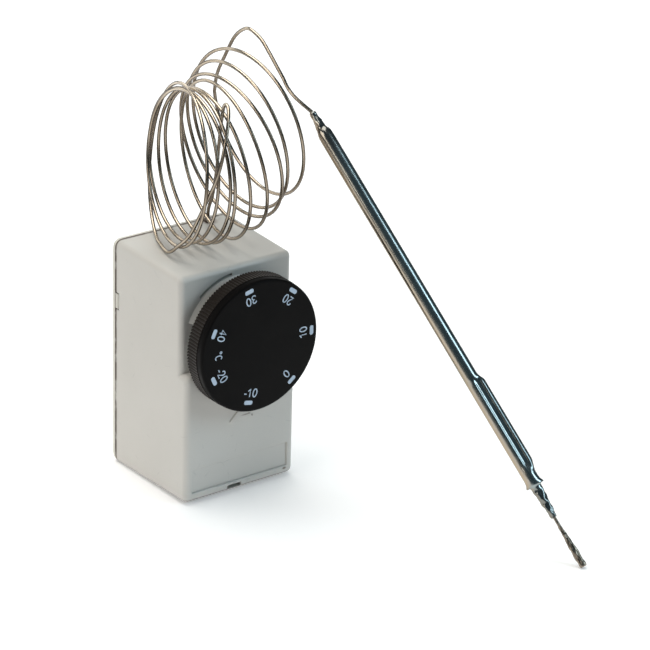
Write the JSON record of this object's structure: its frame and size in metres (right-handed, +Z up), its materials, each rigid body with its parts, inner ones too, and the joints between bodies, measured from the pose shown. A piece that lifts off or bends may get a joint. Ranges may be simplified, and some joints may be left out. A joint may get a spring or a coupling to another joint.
{
  "type": "capillary thermostat",
  "caption": "Wall-mounted capillary thermostat: moulded box with a ribbed temperature dial, a wound capillary tube on top and a long sensing bulb.",
  "frame": {"origin": "middle of the base plate's lower edge, on which the box stands", "axes": "+Z up, the dial faces -Y, the base plate's wall face faces +Y, +X to the right as seen from the front"},
  "size_m": [0.1095, 0.2097, 0.1911],
  "materials": {
    "moulded_housing": "fine matt moulding texture",
    "moulded_base": "fine matt moulding texture",
    "dial_black": "satin black moulding",
    "turned_steel": "turned",
    "bush_brass": "turned",
    "cam_nylon": "moulded nylon",
    "bracket_zinc": "zinc plated sheet",
    "screw_zinc": "zinc plated",
    "follower_brass": "turned",
    "lever_steel": "stamped",
    "capsule_stainless": "pressed stainless",
    "push_pin_ceramic": "glazed ceramic",
    "spring_steel": "drawn wire",
    "switch_phenolic": "moulded phenolic",
    "plunger_red": "moulded",
    "contact_brass": "stamped strip",
    "terminal_block_grey": "moulded polyamide",
    "capillary_copper": "tarnished drawn copper tube",
    "grommet_rubber": "moulded",
    "bulb_metal": "drawn and polished metal tube",
    "tail_copper": "tarnished copper"
  },
  "bodies": {
    "housing": {"cover": "moulded_housing", "base_plate": "moulded_base", "spindle_bush": "bush_brass", "bush_nut": "bush_brass", "follower_guide": "bracket_zinc", "guide_rivet": "bracket_zinc", "mechanism_bracket": "bracket_zinc", "bracket_screw_1": "screw_zinc", "bracket_screw_2": "screw_zinc", "bracket_screw_3": "screw_zinc", "bracket_screw_4": "screw_zinc", "block_screw": "screw_zinc", "earth_screw": "screw_zinc", "lever_pin": "lever_steel", "diaphragm_capsule": "capsule_stainless", "capsule_nut": "capsule_stainless", "range_spring": "spring_steel", "switch_body": "switch_phenolic", "contact_opening": "contact_brass", "contact_common": "contact_brass", "contact_closing": "contact_brass", "terminal_screw_opening": "screw_zinc", "terminal_screw_common": "screw_zinc", "terminal_screw_closing": "screw_zinc", "terminal_block": "terminal_block_grey", "earth_terminal": "contact_brass", "capillary_tube": "capillary_copper", "capillary_grommet": "grommet_rubber", "sensing_bulb": "bulb_metal", "fill_tail": "tail_copper"},
    "dial": {"dial_knob": "dial_black", "spindle": "turned_steel", "spindle_clip": "turned_steel", "range_cam": "cam_nylon"},
    "follower": {"range_follower": "follower_brass"},
    "lever": {"rocker_lever": "lever_steel"},
    "capsule_push": {"push_pin": "push_pin_ceramic"},
    "switch_push": {"switch_plunger": "plunger_red"}
  },
  "joints": [
    {"name": "dial_turn", "type": "hinge", "parent": "housing", "child": "dial", "pos_m": [0, -0.0563, 0.0734], "axis": [0, -1, 0], "range_deg": [-246.5, 65]},
    {"name": "follower_slide", "type": "slide", "parent": "housing", "child": "follower", "axis": [0, 0, 1], "range_m": [-0.0028, 0.0008], "deforming": ["range_spring"]},
    {"name": "lever_rock", "type": "hinge", "parent": "housing", "child": "lever", "pos_m": [0.018, -0.023, 0.035], "axis": [0, 1, 0], "range_deg": [-0.6, 0.6], "stiffness_Nm_per_rad": 1.6},
    {"name": "push_pin_slide", "type": "slide", "parent": "housing", "child": "capsule_push", "axis": [0, 0, 1], "range_m": [-0.000125, 0.000125]},
    {"name": "plunger_slide", "type": "slide", "parent": "housing", "child": "switch_push", "axis": [0, 0, 1], "range_m": [-0.00036, 0.00036]}
  ],
  "couplings": [
    {"joint": "follower_slide", "follows": "dial_turn", "m_per_rad": 0.000625},
    {"joint": "push_pin_slide", "follows": "lever_rock", "m_per_rad": 0.011},
    {"joint": "plunger_slide", "follows": "lever_rock", "m_per_rad": 0.0316}
  ]
}
